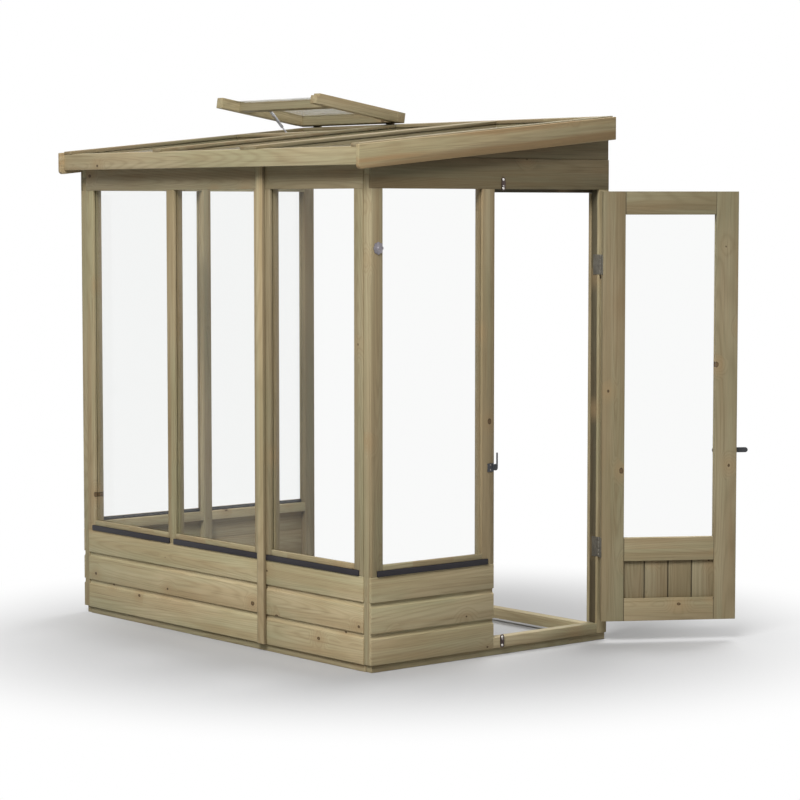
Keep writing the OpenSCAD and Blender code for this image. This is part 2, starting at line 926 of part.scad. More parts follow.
module corner_rose() color(zinc)
  on_right()
    across(rose_x, 0, rose_z) {
      cylinder(r = rose_r, h = rose_t);
      translate([0, 0, rose_t])
        rotate_extrude()
          translate([rose_ring_r, 0])
            circle(r = rose_ring_t);
      cylinder(r = rose_boss_r, h = rose_boss_h);
    }

// Turn buttons over and under the door, and their screws
button_gx = door_x0 + button_x;
button_below = 7;
button_above = 10.4;
button_zs = [threshold_z - button_below, head_z + button_above];
button_screw_r = 2.5;
button_head_r = 5;
button_head_t = 2.5;

// One button, with its long end up. Turned, the long end points down
module turn_button(z, turn)
  on_right()
    across(button_gx, 0, z)
      rotate([0, 0, turn])
        difference() {
          translate([0, 0, turn_gap])
            linear_extrude(button_t) {
              ends = [button_w / 2 - button_short, button_long - button_w / 2];
              translate([-button_w / 2, ends[0]])
                square([button_w, ends[1] - ends[0]]);
              for (end = ends)
                translate([0, end])
                  circle(r = button_w / 2);
            }

          cylinder(r = button_screw_r + pin_clear, h = button_t + 2 * turn_gap);
        }

module turn_button_top() color(zinc)
  turn_button(button_zs[1], 0);

module turn_button_bottom() color(zinc)
  turn_button(button_zs[0], 180);

module button_screws() color(zinc)
  on_right()
    for (z = button_zs)
      across(button_gx, 0, z) {
        cylinder(r = button_screw_r, h = button_t + 2 * turn_gap);
        translate([0, 0, button_t + 2 * turn_gap])
          cylinder(r = button_head_r, h = button_head_t);
      }

// Vent hinges, stay rail and stay
vent_pin_r = 1.5;
vent_knuckle_r = 4;
vent_pivot_h = strip_up + vent_knuckle_r + 0.2;
vent_hinge_l = 50;
vent_hinge_in = 70;
vent_hinge_xs = [vent_xs[0] + vent_hinge_in, vent_xs[1] - vent_hinge_in - vent_hinge_l];
vent_leaf_h = vent_low + vent_rail_h - vent_pivot_h - 4;
vent_neck = vent_knuckle_r + 2 * turn_gap;

// Hinge knuckles laid along x at the pivot
module at_vent_pivot(x)
  translate([x, -vent_pivot_s, vent_pivot_h])
    rotate([0, 90, 0])
      children();

module vent_hinge_leaves() color(zinc)
  on_roof()
    for (x = vent_hinge_xs) {
      translate([x, -vent_pivot_s, strip_up])
        rotate([90, 0, 90]) {
          box([-vent_leaf_reach, -vent_knuckle_r - turn_gap], [0, vent_leaf_t], [0, vent_hinge_l]);
          necks(vent_hinge_l, 0, [-vent_neck, 0], [0, vent_leaf_t]);
        }
      at_vent_pivot(x) {
        knuckles(vent_hinge_l, vent_knuckle_r, 0, 0);
        cylinder(r = vent_pin_r, h = vent_hinge_l);
      }
    }

// The vent turns about its hinge pins. Its pieces are drawn shut
module on_vent()
  on_roof()
    translate([0, -vent_pivot_s, vent_pivot_h])
      rotate([-vent_open, 0, 0])
        translate([0, vent_pivot_s, -vent_pivot_h])
          children();

module vent_leaves() color(zinc)
  on_vent()
    for (x = vent_hinge_xs)
      difference() {
        union() {
          translate([x, -vent_s0, vent_pivot_h])
            rotate([90, 0, 90]) {
              box([0, vent_leaf_t], [vent_knuckle_r + turn_gap, vent_leaf_h], [0, vent_hinge_l]);
              necks(vent_hinge_l, 1, [0, vent_leaf_t], [0, vent_neck]);
            }
          at_vent_pivot(x)
            knuckles(vent_hinge_l, vent_knuckle_r, 1, 0);
        }
        at_vent_pivot(x - overcut)
          cylinder(r = vent_pin_r + pin_clear, h = vent_hinge_l + 2 * overcut);
      }

vent_pane_hs = [vent_front_high + glass_gap, vent_front_high + glass_gap + glass_t];

module vent_pane(grow)
  box(
    [vent_in_xs[0] - glass_lap - grow, vent_in_xs[1] + glass_lap + grow],
    [-vent_front_s1 - vent_drip - grow, -vent_s0 - vent_rear_w + glass_lap + grow],
    [vent_pane_hs[0] - grow, vent_pane_hs[1] + grow]
  );

// The side rails butt against the rear rail. The right one is stepped at its front end
vent_high = vent_low + vent_rail_h;
step_l = 14;
step_h = 9;

module vent_side_rails() color(wood)
  on_vent()
    difference() {
      for (xs = [[vent_xs[0], vent_in_xs[0]], [vent_in_xs[1], vent_xs[1]]])
        box(xs, [-vent_s1, -vent_s0 - vent_rear_w - joint], [vent_low, vent_high]);
      vent_pane(glass_gap);
      box(
        [vent_in_xs[1] - overcut, vent_xs[1] + overcut],
        [-vent_s1 - overcut, -vent_s1 + step_l],
        [vent_high - step_h, vent_high + overcut]
      );
    }

module vent_cross_rails() color(wood)
  on_vent()
    difference() {
      union() {
        box(vent_xs, [-vent_s0 - vent_rear_w, -vent_s0], [vent_rear_low, vent_high]);
        box(vent_in_xs, [-vent_front_s1, -vent_front_s0], [vent_front_low, vent_front_high]);
      }
      vent_pane(glass_gap);
    }

module vent_glass() color(clear)
  on_vent()
    vent_pane(0);

// The stay runs from the vent's front rail down to a rail under the roof bars
stay_gx = -half_w + stay_x;
top_eye_out = 8;
top_eye_up = 7.4;
stay_reach = 104;
foot_eye_up = 14;
top_eye = [vent_front_s0 - top_eye_out, vent_low + top_eye_up];
foot_eye = [top_eye[0] - stay_reach, bar_low + foot_eye_up];
stay_rail_w = 44;
stay_rail_h = 20;
bracket_w = 24;
bracket_l = 28;
bracket_t = 1;
ear_gap = 9;
ear_t = 2;
ear_r = 5;
eye_w = 8;
foot_eye_r = 9;
foot_bore_r = 6.5;
stay_pin_r = 2.5;

// Place of the upper eye with the vent open
eye_arm = [top_eye[0] - vent_pivot_s, top_eye[1] - vent_pivot_h];
open_eye = [
  vent_pivot_s + eye_arm[0] * cos(vent_open) - eye_arm[1] * sin(vent_open),
  vent_pivot_h + eye_arm[0] * sin(vent_open) + eye_arm[1] * cos(vent_open)
];
top_point = roof_point(open_eye[0], open_eye[1]);
foot_point = roof_point(foot_eye[0], foot_eye[1]);
stay_run = foot_point - top_point;
stay_l = norm(stay_run);
tube_s0 = ear_r + 4;
rod_held = 37;
rod_in = tube_l - rod_held;

module stay_rail() color(wood_dark)
  on_roof()
    translate([0, -foot_eye[0], bar_low])
      box([-in_w, roof_posts[1][1]], [-stay_rail_w / 2, stay_rail_w / 2], [-stay_rail_h, 0]);

// A plate with two ears and a pin along x, in the roof's frame
module eared_bracket(plate_ys, plate_hs, ear_ys, ear_hs, eye) {
  box([-bracket_w / 2, bracket_w / 2], plate_ys, plate_hs);
  for (side = [-1, 1])
    translate([side * (ear_gap + ear_t) / 2, 0, 0])
      box([-ear_t / 2, ear_t / 2], ear_ys, ear_hs);
  translate([-ear_gap / 2 - ear_t, -eye[0], eye[1]])
    rotate([0, 90, 0])
      cylinder(r = stay_pin_r, h = ear_gap + 2 * ear_t);
}

module stay_bracket() color(zinc)
  on_roof()
    translate([stay_gx, 0, 0])
      eared_bracket(
        [-foot_eye[0] - bracket_l / 2, -foot_eye[0] + bracket_l / 2], [bar_low, bar_low + bracket_t],
        [-foot_eye[0] - ear_r, -foot_eye[0] + ear_r], [bar_low, foot_eye[1] + ear_r],
        foot_eye
      );

module vent_bracket() color(zinc)
  on_vent()
    translate([stay_gx, 0, 0])
      eared_bracket(
        [-vent_front_s0, -vent_front_s0 + bracket_t], [vent_front_low, vent_front_low + bracket_w],
        [-vent_front_s0, -top_eye[0] + ear_r], [vent_front_low, top_eye[1] + ear_r],
        top_eye
      );

// Stay frame: z runs from the upper eye to the lower one
module on_stay()
  translate([stay_gx, top_point[0], top_point[1]])
    rotate([atan2(-stay_run[0], stay_run[1]), 0, 0])
      children();

// A round cut or boss of the eyes, along x
module cross_rod(r, w)
  rotate([0, 90, 0])
    translate([0, 0, -w / 2])
      cylinder(r = r, h = w);

// The tube's end is flattened to an eye between the ears, and its bore is blind
module stay_tube() color(zinc)
  on_stay()
    difference() {
      union() {
        cross_rod(ear_r, eye_w);
        box([-eye_w / 2, eye_w / 2], [-ear_r + 1, ear_r - 1], [0, tube_s0]);
        translate([0, 0, tube_s0])
          cylinder(r = tube_r, h = tube_l - tube_s0);
      }
      cross_rod(stay_pin_r + pin_clear, 2 * eye_w);
      translate([0, 0, tube_s0 + 1])
        cylinder(r = rod_r + pin_clear, h = tube_l);
    }

module stay_rod() color(zinc)
  on_stay()
    difference() {
      union() {
        translate([0, 0, rod_in])
          cylinder(r = rod_r, h = stay_l - rod_in);
        translate([0, 0, stay_l])
          cross_rod(foot_eye_r, eye_w);
      }
      translate([0, 0, stay_l])
        cross_rod(foot_bore_r, 2 * eye_w);
    }

bearers();
floor_rail();
wall_plate();
front_uprights();
front_rails();
front_strips();
front_cover_strip();
front_head_boards();
front_cladding();
front_glass();
eaves_plate();
right_posts();
right_rails();
right_strips();
right_cladding();
right_boards();
right_plate();
threshold();
door_stops();
left_posts();
left_rails();
left_strips();
left_cladding();
left_boards();
left_plate();
gable_glass();
drip_strips();
roof_bars();
roof_rails();
roof_strips();
roof_glass();
barge_boards();
eaves_board();
stay_rail();
stay_bracket();
vent_hinge_leaves();
post_hinge_leaves();
latch_keep();
keep_screws();
button_screws();
corner_rose();
door_stiles();
door_rails();
door_panel();
door_glass();
door_beads();
door_hinge_leaves();
latch_plate();
latch_screws();
latch_bar();
turn_button_top();
turn_button_bottom();
vent_side_rails();
vent_cross_rails();
vent_glass();
vent_leaves();
vent_bracket();
stay_tube();
stay_rod();
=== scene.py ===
import math

import bpy
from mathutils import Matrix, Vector


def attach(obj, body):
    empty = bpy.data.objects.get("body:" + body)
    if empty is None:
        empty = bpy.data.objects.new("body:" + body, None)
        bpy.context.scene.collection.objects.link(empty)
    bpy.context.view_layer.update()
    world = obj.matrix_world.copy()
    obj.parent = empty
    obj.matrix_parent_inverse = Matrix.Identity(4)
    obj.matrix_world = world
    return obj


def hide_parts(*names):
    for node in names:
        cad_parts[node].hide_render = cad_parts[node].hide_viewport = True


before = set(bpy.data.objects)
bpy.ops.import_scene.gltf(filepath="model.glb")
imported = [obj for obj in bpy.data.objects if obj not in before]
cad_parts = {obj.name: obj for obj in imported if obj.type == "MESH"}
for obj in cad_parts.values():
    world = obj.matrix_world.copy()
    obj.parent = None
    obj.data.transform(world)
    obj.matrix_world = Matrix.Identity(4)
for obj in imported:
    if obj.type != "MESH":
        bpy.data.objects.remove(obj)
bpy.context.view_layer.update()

scene = bpy.context.scene

# Viewpoint: a long lens on the corner between the glazed front and the gable with the door, at
# eye height and tipped down by a few degrees.
view_azimuth = math.radians(50.22)
view_dip = math.radians(4.25)
viewpoint = bpy.data.objects.new("viewpoint", bpy.data.cameras.new("viewpoint"))
viewpoint.data.sensor_width = 36
viewpoint.data.lens = 116.87
viewpoint.data.clip_end = 100
viewpoint.location = (7.8768, -6.8089, 1.6263)
viewpoint.rotation_euler = (math.pi / 2 - view_dip, 0, view_azimuth)
scene.collection.objects.link(viewpoint)
scene.camera = viewpoint

# Bearers, back rails and plates: sawn, pressure-treated timbers. The bearers lie on the ground
# under the front and the gables. Treated softwood is pale and greenish, with brown streaks,
# darker late wood and small knots.
house_w = 1.83
house_d = 1.143
wall_t = 0.041
half_w = house_w / 2
in_w = half_w - wall_t
bearer_h = 0.027
pine_pale = (0.52, 0.435, 0.27, 1)
pine_green = (0.40, 0.365, 0.215, 1)
pine_brown = (0.36, 0.245, 0.125, 1)
late_wood = (0.245, 0.18, 0.09, 1)
knot_brown = (0.125, 0.075, 0.035, 1)
knot_edge = (0.04, 0.026, 0.015, 1)
joint_dark = (0.045, 0.036, 0.022, 1)
knot_spacing = 0.17

# A material numbers its boards by the cells of a grid. A cell this wide that starts outside the
# greenhouse holds all of it, and cells a metre wide, counted from x = -0.5, part the two gables.
wide = 4
outside = -2
gable_cell = 1
gable_cell_x = -0.5
sawn_edge = 0.0012
figure_shift = (9.7, 5.3, 3.1)


class Wire:
    """One socket of a material. Sums on it add Math nodes."""

    def __init__(self, tree, socket=None):
        self.tree = tree
        self.socket = socket

    def add(self, kind, settings=None, sockets=None, out=0):
        """Adds a node, sets it up, fills its inputs with values or wires, and gives one output."""
        node = self.tree.nodes.new("ShaderNode" + kind)
        for name, value in (settings or {}).items():
            setattr(node, name, value)
        for name, value in (sockets or {}).items():
            if isinstance(value, Wire):
                self.tree.links.new(value.socket, node.inputs[name])
            else:
                node.inputs[name].default_value = value
        return Wire(self.tree, node.outputs[out])

    def maths(self, operation, *values):
        return self.add("Math", {"operation": operation}, dict(enumerate(values)))

    def __add__(self, other):
        return self.maths("ADD", self, other)

    __radd__ = __add__

    def __sub__(self, other):
        return self.maths("SUBTRACT", self, other)

    def __rsub__(self, other):
        return self.maths("SUBTRACT", other, self)

    def __mul__(self, other):
        return self.maths("MULTIPLY", self, other)

    __rmul__ = __mul__

    def __gt__(self, other):
        return self.maths("GREATER_THAN", self, other)

    def __lt__(self, other):
        return self.maths("LESS_THAN", self, other)

    def __abs__(self):
        return self.maths("ABSOLUTE", self)

    def vector(self, operation, *values):
        return self.add("VectorMath", {"operation": operation}, dict(enumerate(values)))

    def output(self, name):
        """Another output of the same node."""
        return Wire(self.tree, self.socket.node.outputs[name])

    def parts(self):
        """The x, y and z of a vector."""
        node = self.add("SeparateXYZ", {}, {0: self})
        return {axis: node.output(axis) for axis in "XYZ"}

    def length(self, stretch, arrow=None):
        """The length of this vector, or of another, stretched along the axes."""
        arrow = self.vector("MULTIPLY", arrow or self, stretch)
        return arrow.vector("LENGTH", arrow).output("Value")

    def scale(self, factor):
        """A colour or vector times a number."""
        return self.add("VectorMath", {"operation": "SCALE"}, {0: self, "Scale": factor})

    def noise(self, stretch, detail=2.0, out=0):
        stretched = self.vector("MULTIPLY", self, stretch)
        return self.add("TexNoise", {}, {"Vector": stretched, "Scale": 1.0, "Detail": detail}, out)

    def fade(self, start, end, low=0.0, high=1.0):
        """Turns start to end into low to high, smoothly, and clamps it."""
        settings = {"interpolation_type": "SMOOTHSTEP"}
        sockets = {"Value": self, "From Min": start, "From Max": end, "To Min": low, "To Max": high}
        return self.add("MapRange", settings, sockets)

    def blend(self, a, b):
        """Colour a where this is 0 and colour b where it is 1."""
        return self.add("Mix", {"data_type": "RGBA"}, {0: self, 6: a, 7: b}, 2)

    def choose(self, a, b):
        """Vector a where this is 0 and vector b where it is 1."""
        return self.add("Mix", {"data_type": "VECTOR"}, {0: self, 4: a, 5: b}, 1)


def new_material(name):
    """An empty material, its Principled shader, and a wire with the object's coordinates."""
    material = bpy.data.materials.new(name)
    material.use_nodes = True
    tree = material.node_tree
    place = Wire(tree).add("TexCoord", out="Object")
    return material, tree.nodes["Principled BSDF"], place


def feed(surface, name, wire):
    wire.tree.links.new(wire.socket, surface.inputs[name])


def between(axis, low, high):
    """1 where the wire lies between two values."""
    return (axis > low) * (axis < high)


def board_place(parts, order):
    """Coordinates along the grain, across it and through the board, for an order such as XZY."""
    return parts["X"].add("CombineXYZ", {}, {i: parts[axis] for i, axis in enumerate(order)})


def joints(axis, start, step, half):
    """1 on the joint lines, which lie at equal steps from a first one."""
    return axis.maths("PINGPONG", axis - start, step / 2).fade(half, half * 0.3)


def wood(name, order, cells=(wide, wide, wide), start=(outside, outside, outside), turn=None, cross=None,
         tone=1.0, warm=0.0, dark=None):
    """Treated softwood. cells and start number the boards, so that each gets its own figure.
    turn brings a turned piece square to the axes. cross gives where boards run in another order.
    tone is a number or changes with the place. dark gives where damp has blackened the joints."""
    material, surface, place = new_material(name)
    if turn:
        angles, pivot = turn
        place = place.vector("SUBTRACT", place, pivot)
        place = place.add("Mapping", {}, {"Vector": place, "Rotation": angles})
        place = place.vector("ADD", place, pivot)
    parts = place.parts()
    number = place.vector("FLOOR", place.vector("DIVIDE", place.vector("SUBTRACT", place, start), cells))
    board = board_place(parts, order)
    if cross:
        where, other = cross
        mask = where(parts)
        board = mask.choose(board, board_place(parts, other))
        number = number.vector("ADD", number, mask.add("CombineXYZ", {}, {0: mask * 7, 1: 0.0, 2: 0.0}))
    luck = number.add("TexWhiteNoise", {"noise_dimensions": "3D"}, {"Vector": number}, "Color")
    grain = luck.vector("MULTIPLY_ADD", luck, figure_shift, board)
    luck = luck.parts()

    # Knots sit in the cells of a pattern, and the grain bends round them. Their radius runs from
    # below nothing, where a cell has no knot, to 8 mm.
    spacing = {"Vector": grain, "Scale": 1 / knot_spacing}
    cell = grain.add("TexVoronoi", {"voronoi_dimensions": "2D"}, spacing)
    chance = cell.output("Color").parts()
    offset = grain.vector("SUBTRACT", grain, cell.output("Position"))
    away = grain.length((0.75, 1.0, 0.0), offset)
    size = chance["X"] * 0.0145 - 0.0065
    ragged = grain.noise((90.0, 90.0, 90.0), 2.0) * 0.005 - 0.0025
    knot = (away + ragged - size).fade(0.0012, -0.0012)
    knot_rim = knot * (away + ragged - size).fade(-0.004, -0.0008)
    swirl = away.fade(0.05, 0.0) * size.fade(0.0, 0.006)

    # Each noise is stretched by how often it changes in a metre along, across and through the board.
    figure = grain.noise((0.35, 7.0, 7.0), 1.0)
    warped = figure + swirl * 0.10
    rings = (warped * 300.0).maths("SINE", warped * 300.0) * 0.5 + 0.5
    late = rings.maths("POWER", rings, 2.5)
    streak = grain.noise((0.7, 22.0, 22.0), 4.0).fade(0.38, 0.66)
    patch = grain.noise((1.5, 4.5, 4.5), 3.0).fade(0.36, 0.64)
    blush = grain.noise((2.6, 9.0, 9.0), 2.0).fade(0.5, 0.72)
    vein = grain.noise((1.1, 85.0, 85.0), 3.0).fade(0.44, 0.66)
    fibre = grain.noise((14.0, 420.0, 420.0), 3.0)
    check = grain.noise((3.0, 190.0, 190.0), 1.0).fade(0.62, 0.72)

    colour = (patch * 0.8 + luck["Y"] * 0.2).blend(pine_pale, pine_green)
    colour = (streak * (0.4 + warm) + blush * 0.25 + warm * 0.5).blend(colour, pine_brown)
    colour = (late * 0.24 + vein * 0.2 + check * 0.35).blend(colour, late_wood)
    shade = (luck["X"] * 0.13 + fibre * 0.3 + 0.80) * (tone(parts) if callable(tone) else tone)
    colour = colour.scale(shade)
    colour = (swirl * 0.5).blend(colour, pine_brown)
    colour = (knot * 0.9).blend(colour, knot_brown)
    colour = (knot_rim * 0.7).blend(colour, knot_edge)
    if dark:
        colour = (dark(parts) * 0.8).blend(colour, joint_dark)
    feed(surface, "Base Color", colour)
    feed(surface, "Roughness", streak * 0.12 + fibre * 0.12 + 0.56)
    height = late * 0.35 + fibre * 0.6 - knot * 0.4 - check * 0.5
    feed(surface, "Normal", height.add("Bump", {}, {"Height": height, "Distance": 0.0007, "Strength": 0.6}))
    surface.inputs["Specular IOR Level"].default_value = 0.25
    return material


def dress(material, *nodes):
    """Gives CAD pieces their finish."""
    for name in nodes:
        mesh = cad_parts[name].data
        mesh.materials.clear()
        mesh.materials.append(material)


def pick(piece):
    """Makes a piece the only one selected, and the active one."""
    bpy.ops.object.select_all(action="DESELECT")
    piece.select_set(True)
    bpy.context.view_layer.objects.active = piece


def eased(material, slot, width, body, *nodes):
    """Pieces like the CAD ones, with their sharp edges rounded to a width."""
    for name in nodes:
        piece = bpy.data.objects.new("eased_" + name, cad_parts[name].data.copy())
        scene.collection.objects.link(piece)
        pick(piece)
        bpy.ops.object.mode_set(mode="EDIT")
        bpy.ops.mesh.select_all(action="SELECT")
        bpy.ops.mesh.remove_doubles(threshold=0.000001)
        bpy.ops.mesh.dissolve_limited(angle_limit=math.radians(1))
        bpy.ops.object.mode_set(mode="OBJECT")
        bpy.ops.object.modifier_add(type="BEVEL")
        round_over = piece.modifiers[0]
        round_over.width = width
        round_over.segments = 2
        round_over.limit_method = "ANGLE"
        round_over.angle_limit = math.radians(35)
        bpy.ops.object.modifier_apply(modifier=round_over.name)
        bpy.ops.object.shade_smooth_by_angle(angle=math.radians(32))
        piece.data.materials.clear()
        piece.data.materials.append(material)
        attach(piece, body)
        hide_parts(name)


gable_bearers = (lambda p: abs(p["X"]) > in_w, "YZX")
sawn_bearers = wood("sawn bearers", "XZY", cross=gable_bearers, tone=0.8)
eased(sawn_bearers, "bearer_wood", sawn_edge, "greenhouse", "bearers")
back_rail_cells = ((wide, wide, 1), (outside, outside, -0.5))
back_rails = wood("back rails", "XZY", *back_rail_cells, tone=0.85)
eased(back_rails, "bearer_wood", sawn_edge, "greenhouse", "floor_rail", "wall_plate", "eaves_plate")

# Posts and rails: planed battens behind the glass, grooved for the panes and screwed together
# into one frame for each panel. Each gable has a sawn plate along its head.
bay = 2 * in_w / 3
seam_x = -in_w + 2 * bay
mullion_x = seam_x - bay
planed_edge = 0.0015
rail_edge = 0.0012
upright_w = 0.049
half_upright = upright_w / 2
upright_cell = 0.17
cells_to_left = 10
upright_cells = (upright_cell, wide, wide)
upright_start = (mullion_x + upright_w - cells_to_left * upright_cell, outside, outside)
gable_cells = (gable_cell, 0.19, wide)
gable_start = (gable_cell_x, -house_d, outside)
nosing_z = 0.358
glass_z = 0.3785
head_z = 1.69065


def painted_upright_shade(parts):
    """Painted light and shade: the uprights keep their full tone low down by the cladding, where light
    off the floor falls on them, and are painted darker above it, where the strips shade them.
    """
    return parts["Z"].fade(0.33, 0.36, 1.0, 0.72)


front_posts = wood("front posts", "ZXY", upright_cells, upright_start, tone=painted_upright_shade, warm=0.08)
rail_cell = 0.6
rail_cell_z = -0.2
front_rail_cells = ((bay, wide, rail_cell), (-in_w, outside, rail_cell_z))
gable_rail_cells = ((gable_cell, 0.55, rail_cell), (gable_cell_x, -1.15, rail_cell_z))
gable_plate_cells = ((gable_cell, wide, wide), (gable_cell_x, outside, outside))
front_rails = wood("front rails", "XZY", *front_rail_cells, tone=0.93)


def painted_post_shade(parts):
    """Painted shade: the posts near the house are darker, and the one that carries the door most of
    all, standing for the shade under the roof and behind the open door.
    """
    return (parts["Y"] > -0.2) * ((parts["X"] > 0) * -0.38 - 0.22) + 0.82


gable_posts = wood("gable posts", "ZYX", gable_cells, gable_start, tone=painted_post_shade, warm=0.08)
gable_rails = wood("gable rails", "YZX", *gable_rail_cells, tone=0.93)
gable_plates = wood("gable plates", "YZX", *gable_plate_cells, tone=0.8)
eased(front_posts, "frame_wood", planed_edge, "greenhouse", "front_uprights")
eased(front_rails, "frame_wood", rail_edge, "greenhouse", "front_rails")
eased(gable_posts, "frame_wood", planed_edge, "greenhouse", "right_posts", "left_posts")
eased(gable_rails, "frame_wood", rail_edge, "greenhouse", "right_rails", "left_rails")
eased(gable_plates, "bearer_wood", sawn_edge, "greenhouse", "right_plate", "left_plate")

# Cladding: three planed boards nailed across the foot of each panel, with a cove under each joint.
# Those of the left gable, seen from inside through the glass, are painted darker than the others,
# as shade inside the greenhouse.
board_h = 0.1105
board_edge = 0.001
panel_cell = 1.5
front_board_cells = ((panel_cell, wide, board_h), (seam_x - panel_cell, outside, bearer_h))
gable_board_cells = ((gable_cell, wide, board_h), (gable_cell_x, outside, bearer_h))
front_boards = wood("front cladding", "XZY", *front_board_cells, tone=1.03)
right_cladding = wood("gable cladding", "YZX", *gable_board_cells, tone=0.95)
left_cladding = wood("left cladding", "YZX", *gable_board_cells, tone=0.78)
eased(front_boards, "board_wood", board_edge, "greenhouse", "front_cladding")
eased(right_cladding, "board_wood", board_edge, "greenhouse", "right_cladding")
eased(left_cladding, "board_wood", board_edge, "greenhouse", "left_cladding")

# Glazing strips: planed strips nailed upright on the posts, over the edges of the panes, and beads
# that lie between them under the panes.
strip_edge = 0.0018
front_strip_half = 0.0244
right_strip_half = 0.0288
left_strip_half = 0.0262
corner_post_y = -house_d + 0.0265
door_post_y = -0.599
left_upright_y = -0.5605
front_post_xs = (-in_w + half_upright, mullion_x, seam_x - half_upright, seam_x + half_upright,
                 in_w - half_upright)
right_post_ys = (corner_post_y, door_post_y)
left_post_ys = (corner_post_y, left_upright_y, -half_upright)


def bead_mask(axis, posts, half):
    """1 on the beads, which lie between the posts at the foot of the panes."""
    def mask(parts):
        found = between(parts["Z"], nosing_z, glass_z)
        for post in posts:
            found = found * (abs(parts[axis] - post) > half)
        return found
    return mask


front_beads = (bead_mask("X", front_post_xs, front_strip_half), "XZY")
right_beads = (bead_mask("Y", right_post_ys, right_strip_half), "YZX")
left_beads = (bead_mask("Y", left_post_ys, left_strip_half), "YZX")


def strip_tone_and_shade(parts):
    """The cover strip is pale, and the strips on the middle and corner posts are darker. Those just
    right of the cover strip are painted darker still, as the shade that the cover strip casts.
    """
    corner = parts["X"] > in_w - 0.06
    middle = between(parts["X"], mullion_x - 0.03, mullion_x + 0.03)
    beside = between(parts["X"], seam_x + 0.018, seam_x + 0.055)
    cover = between(parts["X"], seam_x - 0.018, seam_x + 0.018)
    return cover * 0.18 - corner * 0.14 - middle * 0.07 - beside * 0.26 + 0.88


front_strips = wood("front strips", "ZXY", upright_cells, upright_start, cross=front_beads,
                    tone=strip_tone_and_shade, warm=0.06)
right_strips = wood("right strips", "ZYX", gable_cells, gable_start, cross=right_beads,
                    tone=0.82, warm=0.06)
left_strips = wood("left strips", "ZYX", gable_cells, gable_start, cross=left_beads,
                   tone=0.82, warm=0.06)
eased(front_strips, "strip_wood", strip_edge, "greenhouse", "front_strips", "front_cover_strip")
eased(right_strips, "strip_wood", strip_edge, "greenhouse", "right_strips")
eased(left_strips, "strip_wood", strip_edge, "greenhouse", "left_strips")

# Head boards: wide planed boards nailed over the front windows, and two over each gable's, the
# upper one tapered to the slope of the roof. They are painted darker, as shade under the eaves and
# the barge boards, those of the gables most of all, and the gables' are browner too.
head_board_h = 0.11
front_head_cells = ((panel_cell, wide, wide), (seam_x - panel_cell, outside, outside))
gable_head_cells = ((gable_cell, wide, head_board_h), (gable_cell_x, outside, head_z))
front_heads = wood("front head boards", "XZY", *front_head_cells, tone=0.72)
gable_heads = wood("gable head boards", "YZX", *gable_head_cells, tone=0.56, warm=0.25)
eased(front_heads, "board_wood", planed_edge, "greenhouse", "front_head_boards")
eased(gable_heads, "board_wood", planed_edge, "greenhouse", "right_boards", "left_boards")

# Threshold and door stops: a planed batten across the foot of the doorway, and three that are
# screwed round its opening, where the door shuts against them.
threshold_wood = wood("threshold", "YXZ", tone=0.8)
stop_cells = ((wide, 0.3, wide), (outside, -0.9, outside))
stop_drop = 0.012


def over_door(parts):
    """1 on the stop over the door."""
    return parts["Z"] > head_z - stop_drop


def painted_stop_shade(parts):
    """Painted shade: the stop over the door is nearly black, as it lies in deep shade under the
    head board.
    """
    return over_door(parts) * -0.6 + 0.75


stop_wood = wood("door stops", "ZYX", *stop_cells, cross=(over_door, "YZX"), tone=painted_stop_shade)
eased(threshold_wood, "frame_wood", planed_edge, "greenhouse", "threshold")
eased(stop_wood, "frame_wood", planed_edge, "greenhouse", "door_stops")


# Drip strips: black plastic angles that throw the rain off the joint under each window.
# Their upstand seals the foot of the pane behind the bead.
def coated(name, colour, rough, fleck, grime):
    """A smooth coat with faint colour change, dull patches and a fine skin."""
    material, surface, place = new_material(name)
    patch = place.noise((9.0, 9.0, 9.0), 3.0)
    skin = place.noise((900.0, 900.0, 900.0), 1.0)
    pale = tuple(min(1.0, c * 1.5 + fleck) for c in colour[:3]) + (1,)
    feed(surface, "Base Color", (patch.fade(0.35, 0.75) * 0.7 + skin * 0.2).blend(colour, pale))
    feed(surface, "Roughness", patch * grime + skin * 0.06 + (rough - grime * 0.5))
    feed(surface, "Normal", skin.add("Bump", {}, {"Height": skin, "Distance": 0.0001, "Strength": 0.3}))
    surface.inputs["Specular IOR Level"].default_value = 0.3
    return material


coat_edge = 0.0006
drip_black = (0.014, 0.012, 0.015, 1)
drip_plastic = coated("black drip plastic", drip_black, rough=0.55, fleck=0.004, grime=0.15)
eased(drip_plastic, "black_plastic", coat_edge, "greenhouse", "drip_strips")


# Panes: clear horticultural glass in grooves behind the strips. The roof's panes are dusty, and the
# vent's pane is clean and bright.
def glazing(name, sheen):
    """Thin clear glass: see-through, with a faint mirror that grows with the sheen at low angles. It
    uses the angle alone, because a Fresnel node would turn the pane's inner face into a mirror."""
    material, mirror, place = new_material(name)
    tree = material.node_tree
    mirror.inputs["Base Color"].default_value = (0.95, 0.97, 0.97, 1)
    mirror.inputs["Metallic"].default_value = 1.0
    mirror.inputs["Roughness"].default_value = 0.02
    clear = place.add("BsdfTransparent", {}, {"Color": (0.974, 0.976, 0.974, 1)})
    streaks = place.noise((3.0, 3.0, 0.8), 3.0).fade(0.4, 0.75)
    slant = place.add("LayerWeight", {}, {"Blend": 0.5}, "Facing")
    share = slant.maths("POWER", slant, 5.0) * sheen + streaks * 0.008 + 0.016
    mix = share.add("MixShader", {}, {0: share, 1: clear})
    tree.links.new(mirror.outputs[0], mix.socket.node.inputs[2])
    tree.links.new(mix.socket, tree.nodes["Material Output"].inputs["Surface"])
    return material


dress(glazing("window glass", sheen=0.5), "front_glass", "gable_glass", "door_glass")
dress(glazing("dusty roof glass", sheen=0.12), "roof_glass")
dress(glazing("vent glass", sheen=1.15), "vent_glass")

